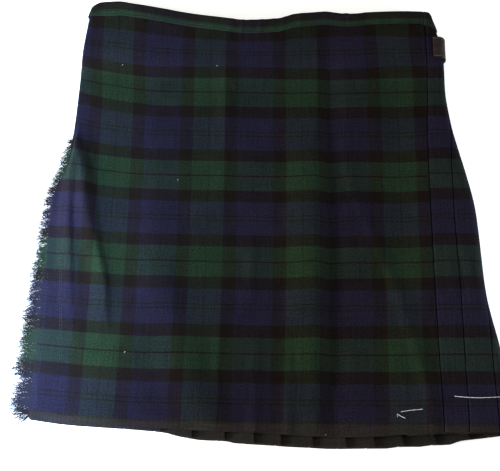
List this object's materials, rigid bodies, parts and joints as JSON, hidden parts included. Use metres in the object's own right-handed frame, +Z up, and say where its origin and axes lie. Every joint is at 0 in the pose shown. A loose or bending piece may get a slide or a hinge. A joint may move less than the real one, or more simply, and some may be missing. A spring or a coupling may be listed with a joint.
{
  "type": "scottish kilt laid flat",
  "caption": "Knee-length pleated tartan wrap skirt laid flat on its back, fringed over-apron up, with hip straps",
  "frame": {"origin": "centre of the laid garment's outline, on the surface that it lies on", "axes": "+X towards the pleats that show beside the over-apron (the wearer's left), +Y towards the waist, +Z up from the surface through the front"},
  "size_m": [0.6162, 0.6288, 0.0248],
  "materials": {
    "tartan_wool": "matte twill wool in dark green, navy and black checks",
    "fringe_yarn": "loose matte wool yarn",
    "strap_leather": "worn satin leather",
    "buckle_steel": "plain satin steel"
  },
  "bodies": {
    "root": {"over_apron": "tartan_wool", "under_apron": "tartan_wool", "pleated_back": "tartan_wool", "waistband_apron": "tartan_wool", "waistband_back": "tartan_wool", "apron_fringe": "fringe_yarn", "tucked_fringe": "fringe_yarn", "hip_tab": "strap_leather", "apron_strap": "strap_leather", "hip_buckle": "buckle_steel", "apron_buckle": "buckle_steel"}
  },
  "joints": []
}
